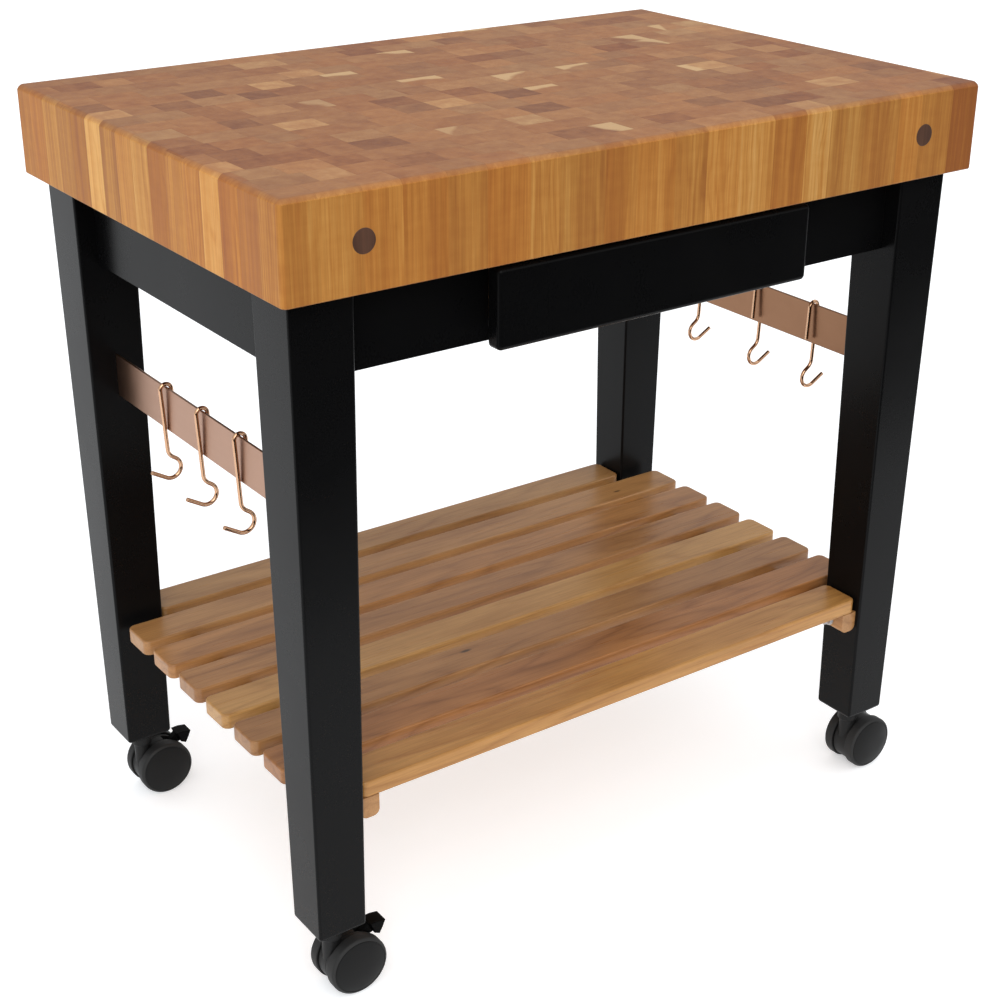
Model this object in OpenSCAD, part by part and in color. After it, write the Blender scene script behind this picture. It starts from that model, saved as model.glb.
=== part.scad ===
// Butcher block table on casters: an end-grain block on a tapered-leg base with a drawer,
// two flat hanging bars with hooks, a slatted shelf and twin-wheel casters.
// Millimetres. +Z is up, the drawer faces -Y, the origin is on the floor under the block's centre.

/* [Block] */
// Length of the block along X
block_l = 914.4; // [900:1:1000]
// Depth of the block along Y
block_w = 609.6; // [600:1:700]
// Thickness of the block
block_h = 101.6; // [80:0.1:120]
// Radius of the block's upright corners
block_corner_r = 8; // [4:1:12]
// Radius of the block's top edges
block_ease = 7; // [1:1:7]
// Distance between the two tie rods
plug_span = 740; // [640:1:760]
// Diameter of the wooden plugs over the tie rods
plug_d = 25.4; // [20:0.1:30]

/* [Base] */
// Height of the block's underside above the floor
base_h = 830; // [800:1:900]
// Distance between leg centres along X
leg_span_x = 808; // [790:1:830]
// Distance between leg centres along Y
leg_span_y = 490; // [470:1:500]
// Leg section at the top
leg_top = 72; // [66:1:76]
// Leg section at the foot
leg_foot = 59; // [55:1:64]
// Thickness of the aprons
apron_t = 25.4; // [20:0.1:28]
// Height of the aprons
apron_h = 93.5; // [90:0.5:110]

/* [Drawer] */
// Width of the drawer's front board
drawer_front_w = 422; // [410:1:460]
// Height of the drawer's front board
drawer_front_h = 87; // [80:1:92]
// Outside width of the drawer's box
drawer_w = 380; // [340:1:384]
// Depth of the drawer's box behind its front board
drawer_d = 400; // [340:1:440]
// Height of the drawer's sides
drawer_side_h = 54; // [46:1:54]

/* [Bars and hooks] */
// Height of the bars' top edges above the floor
bar_top = 625; // [560:1:680]
// Height of the flat bars
bar_h = 52; // [40:1:60]
// Thickness of the flat bars
bar_t = 3.2; // [3:0.1:4]
// Diameter of the hooks' wire
wire_d = 4.8; // [4:0.1:5]
// Places of the three hooks along the left bar
hook_y_left = [81, -8, -96];
// Places of the three hooks along the right bar
hook_y_right = [99, -21, -122];

/* [Shelf] */
// Height of the shelf's top surface above the floor
shelf_top = 273; // [240:1:320]
// Number of slats
slat_count = 8; // [8:1:8]
// Distance from slat to slat
slat_pitch = 69.4; // [68:0.1:70]
// Width of a slat
slat_w = 53; // [48:0.5:56]
// Thickness of a slat
slat_t = 19; // [16:0.5:24]
// Length of the slats that pass between the legs
slat_long = 856; // [830:1:860]
// Length of the first and last slats, which end at the legs
slat_short = 743; // [720:1:744]

/* [Casters] */
// Height of a caster from the floor to the leg's foot
caster_h = 93; // [92:1:100]
// Diameter of a caster's wheels
wheel_d = 72; // [70:1:74]
// Distance from the swivel axis to the wheels' axis
caster_trail = 22; // [18:1:24]

/* [Hidden] */
$fn = 48;
FEET = ["fl", "fr", "bl", "br"];
FOOT_SIGN = [[-1, -1], [1, -1], [-1, 1], [1, 1]];
SIDES = [-1, 1];

// Colours
cherry = "#a56b45";
cherry_slat = "#b98b62";
satin_black = "#1c1c1d";
walnut = "#4b2a1c";
copper = "#c08a6c";
steel = "#a9abad";
drawer_wood = "#c9a273";
caster_black = "#2a2a2b";

// Fits: radial gap round a screw or pin, and the gap beside a sliding part
pin_gap = 0.05;
slide_gap = 0.3;
hull_fn = 24;
ease_step = 45;

// Heights and centres
block_top_z = base_h + block_h;
leg_x = leg_span_x / 2;
leg_y = leg_span_y / 2;
leg_ease = 3;
leg_top_land = 1;
foot_ease = 10;
apron_z = base_h - apron_h;

// Tie rods across the block
rod_z = base_h + block_h / 2;
rod_r = 4.75;
rod_hole_r = 5.25;
plug_t = 12;
counterbore = 28;
rod_washer_t = 2;
rod_washer_r = 12;
rod_nut_t = 8;
rod_nut_r = 8.5;
rod_end = 2.2;

// Corner braces and their bolts
brace_flat = 44;
brace_t = 22;
brace_h = 50;
brace_bolt_r = 4;
brace_bolt_z = base_h - brace_h / 2;
brace_bolt_depth = 38;
washer_t = 1.6;
nut_t = 6.5;
nut_r = 7.5;
screw_r = 2.5;
screw_head_r = 5;
screw_head_t = 3.5;
top_screw_depth = 25;
top_screw_offset = 24;

// Drawer
// The front board stands clear of the apron, which leaves room to grip it from behind
drawer_reveal = 17.5;
drawer_front_t = 18.5;
drawer_front_z = 736.3;
drawer_front_back_y = -leg_y - apron_t / 2 - drawer_reveal;
drawer_side_t = 12;
drawer_side_z = 755;
drawer_housing = 8;
drawer_bottom_t = 5;
drawer_bottom_z = drawer_side_z + 5;
drawer_groove = 5;
drawer_front_r = 6;
drawer_front_ease = 5.5;
drawer_stop = 20;
drawer_back_y = drawer_front_back_y + drawer_d;
drawer_opening_w = drawer_w + 16;
drawer_opening_h = drawer_side_h + 6;
runner_ledge = 14;
runner_lip = 14;
runner_wall = 14;
runner_top = base_h - 4;

// Bars
bar_x = leg_x;
bar_mortise = 12;

// Hooks: distances outward from the bar's centre plane and heights
wire_r = wire_d / 2;
wire_sides = 12;
crook_r = 6.8;
crook_drop = 3.8;
tail_len = 43;
jaw_r = 12.5;
jaw_out = 5.6;
jaw_z = 526;
jaw_turn = 52;
jaw_end = 303;
bend_r = 7;
tip_len = 20.6;
// A hook hangs turned about its crook until its shaft lies near the bar's lower edge
hook_tilt = 2.8;

// Shelf
slat_z = shelf_top - slat_t;
cleat_h = 26;
cleat_w = 23;
cleat_r = 8;
cleat_z = slat_z - cleat_h;
cleat_len = (slat_count - 1) * slat_pitch + slat_w;
cleat_out = leg_x - leg_half(slat_z);
cleat_in = cleat_out - cleat_w;
cleat_bolt_z = cleat_z + cleat_h / 2;
cleat_bolt_depth = 32;
slat_screw_depth = 12;
slat_screw_sink = 4;
slat_corner_r = 9;
slat_ease = 3;

// Casters, measured from the swivel axis on the floor
wheel_r = wheel_d / 2;
wheel_in = 11.5;
wheel_shoulder = 26;
wheel_dome = 30.2;
axle_r = 4;
axle_reach = 27;
hood_half = 10.8;
hood_r = wheel_r - 2.7;
hood_floor = 12;
boss_r = 13;
boss_top = caster_h - 3;
stem_r = 5.5;
stem_up = 40;
socket_r = 8;
socket_depth = 45;
socket_flange_r = 11;
socket_flange_t = 1.5;
lever_pivot = [36, 56];
lever_pin_r = 2;
lever_hub_r = 5;
lever_arm_half = 4.6;
lever_half = 10;
lever_slot_half = 5;
lever_room = 3;
lever_outline = [[46, 73], [66, 71.5], [58, 55.5], [51.5, 59]];
lever_arm = [[33, 60], [46.5, 71], [54, 66], [52, 58.5], [38, 51.4]];

// Half of the leg's section at height z
function leg_half(z) =
    let (foot_z = caster_h + foot_ease, top_z = base_h - leg_top_land)
    (leg_foot + (leg_top - leg_foot) * (z - foot_z) / (top_z - foot_z)) / 2;

// Centre of slat i, counted from the back
function slat_y(i) = ((slat_count + 1) / 2 - i) * slat_pitch;

// Screw place under slat i, kept clear of the cleat's bolts
function slat_screw_y(i) = sign(slat_y(i)) * min(abs(slat_y(i)), leg_y - 17);

// One corner of an eased board: a round post with rounded rims
module corner_post(h, r, top_ease, foot_ease) {
    rotate_extrude($fn = hull_fn)
        polygon(concat(
            [[0, 0]],
            [for (a = [0 : ease_step : 90]) [r - foot_ease * (1 - sin(a)), foot_ease * (1 - cos(a))]],
            [for (a = [0 : ease_step : 90]) [r - top_ease * (1 - cos(a)), h - top_ease * (1 - sin(a))]],
            [[0, h]]
        ));
}

// A board standing on z = 0 with round corners and eased rims
module eased_board(l, w, h, r, top_ease, foot_ease) {
    hull()
        for (sx = SIDES, sy = SIDES)
            translate([sx * (l / 2 - r), sy * (w / 2 - r), 0])
                corner_post(h, r, top_ease, foot_ease);
}

// A rod along Y, centred on the origin
module rod_y(r, l) {
    rotate([90, 0, 0])
        cylinder(h = l, r = r, center = true);
}

// Places children at the two tie rods
module at_tie_rods() {
    for (sx = SIDES)
        translate([sx * plug_span / 2, 0, rod_z])
            children();
}

// The end-grain block, bored for the tie rods
module block_top() {
    color(cherry)
        difference() {
            translate([0, 0, base_h])
                eased_board(block_l, block_w, block_h, block_corner_r, block_ease, 2);
            at_tie_rods() {
                rod_y(rod_hole_r, block_w);
                for (sy = SIDES)
                    translate([0, sy * (block_w - counterbore) / 2, 0])
                        rod_y(plug_d / 2, counterbore);
            }
            all_braces() brace_screw_holes();
        }
}

// Four plugs that close the tie rods' counterbores
module walnut_plugs() {
    color(walnut)
        at_tie_rods()
            for (sy = SIDES)
                translate([0, sy * (block_w - plug_t) / 2, 0])
                    rod_y(plug_d / 2 - pin_gap, plug_t);
}

// Two threaded rods with their washers and nuts
module tie_rods() {
    washer_y = block_w / 2 - counterbore;
    rod_half = washer_y + rod_washer_t + rod_nut_t + rod_end;
    color(steel)
        at_tie_rods() {
            rod_y(rod_r, 2 * rod_half);
            for (sy = SIDES)
                translate([0, sy * (washer_y + rod_washer_t / 2), 0]) {
                    rod_y(rod_washer_r, rod_washer_t);
                    translate([0, sy * (rod_washer_t + rod_nut_t) / 2, 0])
                        rotate([90, 0, 0])
                            cylinder(h = rod_nut_t, r = rod_nut_r, center = true, $fn = 6);
                }
        }
}

// Four short posts at the corners of a leg of the given section
module leg_slice(section, z) {
    place = section / 2 - leg_ease;
    for (sx = SIDES, sy = SIDES)
        translate([sx * place, sy * place, z])
            cylinder(h = leg_top_land, r = leg_ease, $fn = hull_fn);
}

// The tapered leg blank with a rounded foot
module leg_blank() {
    hull() {
        for (a = [0 : ease_step : 90])
            leg_slice(leg_foot - 2 * foot_ease * (1 - sin(a)), caster_h + foot_ease * (1 - cos(a)));
        leg_slice(leg_top, base_h - leg_top_land);
    }
}

// A leg at its corner, cut for the socket, the brace, the bar and the bolts
module leg(i) {
    s = FOOT_SIGN[i];
    color(satin_black)
        difference() {
            translate([s.x * leg_x, s.y * leg_y, 0])
                leg_blank();
            translate([s.x * leg_x, s.y * leg_y, caster_h - 1])
                cylinder(h = socket_depth + 1, r = socket_r + pin_gap);
            at_brace(i) {
                translate([brace_flat, -leg_top, apron_z])
                    cube([leg_top, 2 * leg_top, apron_h + 1]);
                translate([brace_flat - brace_bolt_depth, 0, brace_bolt_z])
                    rotate([0, 90, 0])
                        cylinder(h = leg_top, r = brace_bolt_r + pin_gap);
            }
            bar(s.x);
            translate([s.x * cleat_out, s.y * leg_y, cleat_bolt_z])
                rotate([0, 90, 0])
                    cylinder(h = 2 * cleat_bolt_depth, r = brace_bolt_r + pin_gap, center = true);
        }
}

// An apron along X between slanted leg faces, at y = 0
module apron_x() {
    top = leg_x - leg_half(base_h);
    foot = leg_x - leg_half(apron_z);
    rotate([90, 0, 0])
        linear_extrude(height = apron_t, center = true)
            polygon([[-foot, apron_z], [foot, apron_z], [top, base_h], [-top, base_h]]);
}

// An apron along Y between slanted leg faces, at x = 0
module apron_y() {
    top = leg_y - leg_half(base_h);
    foot = leg_y - leg_half(apron_z);
    rotate([90, 0, 90])
        linear_extrude(height = apron_t, center = true)
            polygon([[-foot, apron_z], [foot, apron_z], [top, base_h], [-top, base_h]]);
}

// Front apron with the drawer's opening
module apron_front() {
    color(satin_black)
        translate([0, -leg_y, 0])
            difference() {
                apron_x();
                translate([0, 0, drawer_side_z + drawer_side_h / 2])
                    cube([drawer_opening_w, 2 * apron_t, drawer_opening_h], center = true);
            }
}

module apron_back() {
    color(satin_black)
        translate([0, leg_y, 0])
            apron_x();
}

module apron_left() {
    color(satin_black)
        translate([-leg_x, 0, 0])
            apron_y();
}

module apron_right() {
    color(satin_black)
        translate([leg_x, 0, 0])
            apron_y();
}

// Places children at leg i with +X pointing diagonally at the table's centre
module at_brace(i) {
    s = FOOT_SIGN[i];
    translate([s.x * leg_x, s.y * leg_y, 0])
        rotate(atan2(-s.y, -s.x))
            children();
}

module all_braces() {
    for (i = [0 : 3])
        at_brace(i)
            children();
}

// Clearance holes for the two screws that hold the block down through a brace
module brace_screw_holes() {
    for (sy = SIDES)
        translate([brace_flat + brace_t / 2, sy * top_screw_offset, base_h - brace_h - 1])
            cylinder(h = brace_h + top_screw_depth + 1, r = screw_r + pin_gap);
}

// Four diagonal braces between neighbouring aprons
module corner_braces() {
    inner = apron_t / 2 * sqrt(2);
    near = brace_flat - inner;
    far = brace_flat + brace_t - inner;
    color(drawer_wood)
        all_braces()
            difference() {
                translate([0, 0, base_h - brace_h])
                    linear_extrude(height = brace_h)
                        polygon([
                            [brace_flat, -near], [brace_flat + brace_t, -far],
                            [brace_flat + brace_t, far], [brace_flat, near]
                        ]);
                brace_screw_holes();
                translate([brace_flat - 1, 0, brace_bolt_z])
                    rotate([0, 90, 0])
                        cylinder(h = brace_t + 2, r = brace_bolt_r + pin_gap);
            }
}

// Hanger bolts from the legs through the braces, with washers and nuts
module brace_bolts() {
    reach = brace_bolt_depth + brace_t + washer_t + nut_t + 3;
    color(steel)
        all_braces()
            translate([brace_flat - brace_bolt_depth, 0, brace_bolt_z])
                rotate([0, 90, 0]) {
                    cylinder(h = reach, r = brace_bolt_r);
                    translate([0, 0, brace_bolt_depth + brace_t])
                        cylinder(h = washer_t, r = nut_r + 2);
                    translate([0, 0, brace_bolt_depth + brace_t + washer_t])
                        cylinder(h = nut_t, r = nut_r, $fn = 6);
                }
}

// Screws up through the braces into the block
module top_screws() {
    color(steel)
        all_braces()
            for (sy = SIDES)
                translate([brace_flat + brace_t / 2, sy * top_screw_offset, base_h - brace_h]) {
                    cylinder(h = brace_h + top_screw_depth, r = screw_r);
                    translate([0, 0, -screw_head_t])
                        cylinder(h = screw_head_t, r = screw_head_r);
                }
}

// Two channel-shaped wooden runners that carry the drawer's sides, each with a stop behind its side
module drawer_runners() {
    ledge_z = drawer_side_z - slide_gap;
    kick_z = drawer_side_z + drawer_side_h + slide_gap;
    near = drawer_w / 2 - runner_lip;
    wall = drawer_w / 2 + slide_gap;
    far = wall + runner_wall;
    stop_y = drawer_back_y + slide_gap;
    color(drawer_wood)
        for (sx = SIDES) {
            translate([sx * (near + wall) / 2, stop_y + drawer_stop / 2, (ledge_z + kick_z) / 2])
                cube([wall - near, drawer_stop, kick_z - ledge_z], center = true);
            rotate([90, 0, 0])
                linear_extrude(height = leg_span_y - apron_t, center = true)
                    polygon([
                        [sx * near, ledge_z - runner_ledge], [sx * far, ledge_z - runner_ledge],
                        [sx * far, runner_top], [sx * near, runner_top],
                        [sx * near, kick_z], [sx * wall, kick_z],
                        [sx * wall, ledge_z], [sx * near, ledge_z]
                    ]);
        }
}

// A flat bar between two legs, let into both
module bar(side) {
    reach = leg_y - leg_half(bar_top - bar_h / 2) + bar_mortise;
    color(copper)
        translate([side * bar_x, 0, bar_top - bar_h / 2])
            cube([bar_t, 2 * reach, bar_h], center = true);
}

// A slat counted from the back; the outer two stop at the legs
module slat(i) {
    outer = i == 1 || i == slat_count;
    color(cherry_slat)
        difference() {
            translate([0, slat_y(i), slat_z])
                eased_board(outer ? slat_short : slat_long, slat_w, slat_t,
                    slat_corner_r, slat_ease, 1);
            slat_screw_holes(i);
        }
}

module slat_screw_holes(i) {
    for (sx = SIDES)
        translate([sx * (cleat_in + cleat_w / 2), slat_screw_y(i), cleat_z - 1])
            cylinder(h = cleat_h + slat_screw_depth + 1, r = screw_r + pin_gap);
}

// Section of a cleat: square on top, round below
module cleat_section() {
    translate([0, cleat_r])
        square([cleat_w, cleat_h - cleat_r]);
    translate([cleat_r, 0])
        square([cleat_w - 2 * cleat_r, cleat_r + 1]);
    for (x = [cleat_r, cleat_w - cleat_r])
        translate([x, cleat_r])
            circle(r = cleat_r);
}

// A cleat under the slats, bolted to the legs' inner faces
module cleat(side) {
    color(cherry_slat)
        difference() {
            translate([side > 0 ? cleat_in : -cleat_out, 0, cleat_z])
                rotate([90, 0, 0])
                    linear_extrude(height = cleat_len, center = true)
                        cleat_section();
            for (i = [1 : slat_count]) {
                slat_screw_holes(i);
                translate([side * (cleat_in + cleat_w / 2), slat_screw_y(i), cleat_z - 1])
                    cylinder(h = slat_screw_sink + 1, r = screw_head_r + pin_gap);
            }
            for (sy = SIDES)
                translate([side * (cleat_in + cleat_w / 2), sy * leg_y, cleat_bolt_z])
                    rotate([0, 90, 0])
                        cylinder(h = 2 * cleat_w, r = brace_bolt_r + pin_gap, center = true);
        }
}

// Screws up through the cleats into the slats
module slat_screws() {
    color(steel)
        for (i = [1 : slat_count], sx = SIDES)
            translate([sx * (cleat_in + cleat_w / 2), slat_screw_y(i), cleat_z]) {
                translate([0, 0, slat_screw_sink - screw_head_t])
                    cylinder(h = screw_head_t, r = screw_head_r);
                translate([0, 0, slat_screw_sink])
                    cylinder(h = cleat_h - slat_screw_sink + slat_screw_depth, r = screw_r);
            }
}

// Bolts through the cleats into the legs
module cleat_bolts() {
    color(steel)
        for (i = [0 : 3])
            translate([FOOT_SIGN[i].x * cleat_in, FOOT_SIGN[i].y * leg_y, cleat_bolt_z])
                rotate([0, FOOT_SIGN[i].x * 90, 0]) {
                    cylinder(h = cleat_w + cleat_bolt_depth, r = brace_bolt_r);
                    translate([0, 0, -washer_t])
                        cylinder(h = washer_t, r = nut_r + 1.5);
                    translate([0, 0, -washer_t - nut_t])
                        cylinder(h = nut_t, r = nut_r, $fn = 6);
                }
}

// Steel sockets in the feet that take the casters' stems
module caster_sockets() {
    color(steel)
        for (i = [0 : 3])
            translate([FOOT_SIGN[i].x * leg_x, FOOT_SIGN[i].y * leg_y, caster_h])
                difference() {
                    union() {
                        cylinder(h = socket_depth, r = socket_r);
                        translate([0, 0, -socket_flange_t])
                            cylinder(h = socket_flange_t, r = socket_flange_r);
                    }
                    translate([0, 0, -socket_flange_t - 1])
                        cylinder(h = socket_flange_t + 1 + stem_up + 1, r = stem_r + pin_gap);
                }
}

// The drawer's front board, housed for the two sides
module drawer_front() {
    color(satin_black)
        difference() {
            translate([0, drawer_front_back_y, drawer_front_z + drawer_front_h / 2])
                rotate([90, 0, 0])
                    eased_board(drawer_front_w, drawer_front_h, drawer_front_t,
                        drawer_front_r, drawer_front_ease, 1);
            for (side = SIDES)
                drawer_side_blank(side);
            drawer_bottom_blank();
        }
}

// A drawer side from its housing in the front to the back
module drawer_side_blank(side) {
    len = drawer_d + drawer_housing;
    translate([side * (drawer_w - drawer_side_t) / 2, drawer_back_y - len / 2,
        drawer_side_z + drawer_side_h / 2])
        cube([drawer_side_t, len, drawer_side_h], center = true);
}

module drawer_bottom_blank() {
    width = drawer_w - 2 * (drawer_side_t - drawer_groove);
    len = drawer_d + drawer_groove;
    translate([0, drawer_back_y - len / 2, drawer_bottom_z + drawer_bottom_t / 2])
        cube([width, len, drawer_bottom_t], center = true);
}

module drawer_side(side) {
    color(drawer_wood)
        difference() {
            drawer_side_blank(side);
            drawer_bottom_blank();
        }
}

module drawer_back() {
    top = drawer_side_z + drawer_side_h;
    foot = drawer_bottom_z + drawer_bottom_t;
    color(drawer_wood)
        translate([0, drawer_back_y - drawer_side_t / 2, (top + foot) / 2])
            cube([drawer_w - 2 * drawer_side_t, drawer_side_t, top - foot], center = true);
}

module drawer_bottom() {
    color(drawer_wood)
        drawer_bottom_blank();
}

// Points along an arc about c, from one angle to another
function arc_points(c, r, from, to, steps) =
    [for (i = [0 : steps]) c + r * [cos(from + (to - from) * i / steps), sin(from + (to - from) * i / steps)]];

// Direction of a path at point i
function path_dir(path, i) =
    let (d = path[min(i + 1, len(path) - 1)] - path[max(i - 1, 0)]) d / norm(d);

// A round wire along a path of [x, z] points in the XZ plane
module wire(path) {
    last = len(path) - 1;
    points = [
        for (i = [0 : last])
            let (d = path_dir(path, i))
            for (k = [0 : wire_sides - 1])
                let (across = wire_r * cos(k * 360 / wire_sides))
                [path[i].x - d.y * across, wire_r * sin(k * 360 / wire_sides), path[i].y + d.x * across]
    ];
    sides = [
        for (i = [0 : last - 1], k = [0 : wire_sides - 1])
            let (next = (k + 1) % wire_sides)
            [k, next, next + wire_sides, k + wire_sides] + i * wire_sides * [1, 1, 1, 1]
    ];
    near_cap = [for (k = [wire_sides - 1 : -1 : 0]) k];
    far_cap = [for (k = [0 : wire_sides - 1]) last * wire_sides + k];
    polyhedron(points = points, faces = concat(sides, [near_cap, far_cap]), convexity = 4);
}

// Hook outline: +X points outward from the bar's centre plane
module hook_shape() {
    crook = [0, bar_top - crook_drop];
    jaw = [jaw_out, jaw_z];
    jaw_start = 180 - jaw_turn;
    slant = [sin(jaw_turn), cos(jaw_turn)];
    slant_start = jaw + jaw_r * [cos(jaw_start), sin(jaw_start)];
    knee_z = slant_start.y + slant.y * (crook_r - slant_start.x) / slant.x;
    bend = [crook_r - bend_r, knee_z + bend_r * tan(jaw_turn / 2)];
    jaw_path = arc_points(jaw, jaw_r, jaw_start, jaw_end, 16);
    wire(concat(
        [[-crook_r, crook.y - tail_len]],
        arc_points(crook, crook_r, 180, 0, 10),
        arc_points(bend, bend_r, 0, -jaw_turn, 4),
        jaw_path,
        [jaw_path[16] + tip_len * [-sin(jaw_end), cos(jaw_end)]]
    ));
}

module hook(side, y) {
    crook_z = bar_top - crook_drop;
    color(copper)
        translate([side * bar_x, y, crook_z])
            mirror([side < 0 ? 1 : 0, 0, 0])
                rotate([0, hook_tilt, 0])
                    translate([0, 0, -crook_z])
                        hook_shape();
}

// Places children at caster i with the origin on the floor under its swivel axis
module at_caster(i) {
    translate([FOOT_SIGN[i].x * leg_x, FOOT_SIGN[i].y * leg_y, 0])
        children();
}

// The caster's hood between the wheels, with the boss that holds the stem
module caster_hood(i, braked) {
    color(caster_black)
        at_caster(i)
            difference() {
                union() {
                    intersection() {
                        translate([caster_trail, 0, wheel_r])
                            rod_y(hood_r, 2 * hood_half);
                        translate([caster_trail - wheel_r, -hood_half, hood_floor])
                            cube([wheel_d, 2 * hood_half, wheel_d]);
                    }
                    translate([0, 0, wheel_r])
                        cylinder(h = boss_top - wheel_r, r = hood_half - 0.4);
                    translate([0, 0, wheel_d + 1])
                        cylinder(h = boss_top - wheel_d - 1, r = boss_r);
                }
                stem_axle_solids();
                if (braked)
                    translate([
                        lever_pivot.x - lever_hub_r - lever_room, -lever_slot_half,
                        lever_pivot.y - lever_hub_r - lever_room
                    ])
                        cube([wheel_r, 2 * lever_slot_half, wheel_r]);
                if (braked)
                    translate([lever_pivot.x, 0, lever_pivot.y])
                        rod_y(lever_pin_r, 2 * hood_half - 2);
            }
}

// The swivel stem and the axle
module stem_axle_solids() {
    translate([0, 0, wheel_d - 12])
        cylinder(h = caster_h + stem_up - wheel_d + 12, r = stem_r);
    translate([caster_trail, 0, wheel_r])
        rod_y(axle_r, 2 * axle_reach);
}

module caster_stem_axle(i, braked) {
    color(steel)
        at_caster(i) {
            stem_axle_solids();
            if (braked)
                translate([lever_pivot.x, 0, lever_pivot.y])
                    rod_y(lever_pin_r, 2 * hood_half - 2);
        }
}

// One wheel of the pair: side is -1 for the front wheel and 1 for the back wheel
module caster_wheel(i, side) {
    cover_r = wheel_r - 3;
    color(caster_black)
        at_caster(i)
            translate([caster_trail, 0, wheel_r])
                rotate([side * -90, 0, 0])
                    difference() {
                        rotate_extrude($fn = 96)
                            polygon(concat(
                                [[0, wheel_in], [wheel_r - 1.5, wheel_in], [wheel_r, wheel_in + 1.5]],
                                [[wheel_r, wheel_shoulder - 3.5], [wheel_r - 1, wheel_shoulder - 1]],
                                [for (t = [1 : -0.125 : 0])
                                    [cover_r * t, wheel_dome - (wheel_dome - wheel_shoulder) * t * t]]
                            ));
                        cylinder(h = axle_reach + 0.5, r = axle_r + pin_gap);
                    }
}

// Brake pedal, turning on a pin in the hood
module brake_lever(i) {
    color("#0c0c0c")
        at_caster(i)
            difference() {
                rotate([90, 0, 0]) {
                    translate([lever_pivot.x, lever_pivot.y, 0])
                        cylinder(h = 2 * lever_arm_half, r = lever_hub_r, center = true);
                    linear_extrude(height = 2 * lever_arm_half, center = true)
                        polygon(lever_arm);
                    linear_extrude(height = 2 * lever_half, center = true)
                        polygon(lever_outline);
                }
                translate([lever_pivot.x, 0, lever_pivot.y])
                    rod_y(lever_pin_r + pin_gap, 4 * lever_half);
            }
}

block_top();
walnut_plugs();
tie_rods();
leg(0);  // leg_fl
leg(1);  // leg_fr
leg(2);  // leg_bl
leg(3);  // leg_br
apron_front();
apron_back();
apron_left();
apron_right();
corner_braces();
brace_bolts();
top_screws();
drawer_runners();
bar(-1);  // copper_bar_left
bar(1);  // copper_bar_right
for (i = [1 : slat_count])
    slat(i);
cleat(-1);  // cleat_left
cleat(1);  // cleat_right
slat_screws();
cleat_bolts();
caster_sockets();
drawer_front();
drawer_side(-1);  // drawer_side_left
drawer_side(1);  // drawer_side_right
drawer_back();
drawer_bottom();
for (i = [0 : 2])
    hook(-1, hook_y_left[i]);
for (i = [0 : 2])
    hook(1, hook_y_right[i]);
for (i = [0 : 3])
    caster_hood(i, FOOT_SIGN[i].x < 0);
for (i = [0 : 3])
    caster_stem_axle(i, FOOT_SIGN[i].x < 0);
for (i = [0 : 3])
    caster_wheel(i, -1);
for (i = [0 : 3])
    caster_wheel(i, 1);
brake_lever(0);  // brake_lever_fl
brake_lever(2);  // brake_lever_bl
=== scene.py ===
"""Looks of the butcher block table: refined meshes, procedural materials, studio and camera.

Lengths are in metres and angles in degrees, +Z is up, and the frame is that of the CAD nodes.
"""

import math

import bmesh
import bpy
from mathutils import Matrix, Vector


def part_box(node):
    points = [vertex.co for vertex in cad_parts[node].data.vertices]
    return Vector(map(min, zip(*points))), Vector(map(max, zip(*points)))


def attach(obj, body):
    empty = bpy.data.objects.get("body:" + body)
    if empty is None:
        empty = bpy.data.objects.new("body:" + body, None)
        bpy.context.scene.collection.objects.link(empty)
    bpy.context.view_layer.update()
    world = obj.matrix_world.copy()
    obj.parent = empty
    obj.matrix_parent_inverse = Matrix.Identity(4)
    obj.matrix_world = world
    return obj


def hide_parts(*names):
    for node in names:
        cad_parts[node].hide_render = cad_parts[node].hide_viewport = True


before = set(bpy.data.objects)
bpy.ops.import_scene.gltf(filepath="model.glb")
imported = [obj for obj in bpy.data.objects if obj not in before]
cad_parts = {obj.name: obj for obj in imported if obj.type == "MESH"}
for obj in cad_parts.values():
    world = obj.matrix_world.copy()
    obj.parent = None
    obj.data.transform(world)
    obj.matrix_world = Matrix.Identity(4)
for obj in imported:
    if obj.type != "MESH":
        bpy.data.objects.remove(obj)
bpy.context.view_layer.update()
MM = 0.001

# The wooden block and its plugs
BLOCK_LO, BLOCK_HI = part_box("block_top")
BLOCK_CORNER, BLOCK_BEVEL, BLOCK_FOOT_EASE = 6 * MM, 7 * MM, 2 * MM
BLOCK_BEVEL_PROFILE = 0.36
STAVE_ROWS = 16
ROW_PITCH = (BLOCK_HI.y - BLOCK_LO.y) / STAVE_ROWS
ROW_SHIFT = 0.1 * MM  # keeps the front face off the edge between two rows
STAVE_LENGTH = 46 * MM
PLUG_DEPTH, PLUG_PROUD, PLUG_EASE = 12 * MM, 0.25 * MM, 0.5 * MM

# Legs, boards and bars
CORNERS = ("fl", "fr", "bl", "br")
LEG_FOOT, LEG_EASE, LEG_FOOT_EASE, LEG_FOOT_STEPS = 59 * MM, 3 * MM, 5 * MM, 6
SLATS = 8
SLAT_CORNER, SLAT_EASE, SLAT_FOOT_EASE = 9 * MM, 2.5 * MM, 1.5 * MM
APRON_EASE, CLEAT_EASE, INNER_EASE, BAR_EASE = 1.2 * MM, 0.8 * MM, 0.6 * MM, 0.7 * MM
FACE_CORNER, FACE_FRONT_EASE, FACE_BACK_EASE = 6 * MM, 5.4 * MM, 1 * MM
INNER_NODES = ("drawer_side_left", "drawer_side_right", "drawer_back", "drawer_bottom",
               "drawer_runners", "corner_braces")
STEEL_NODES = ("tie_rods", "brace_bolts", "top_screws", "slat_screws", "cleat_bolts", "caster_sockets")

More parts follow.
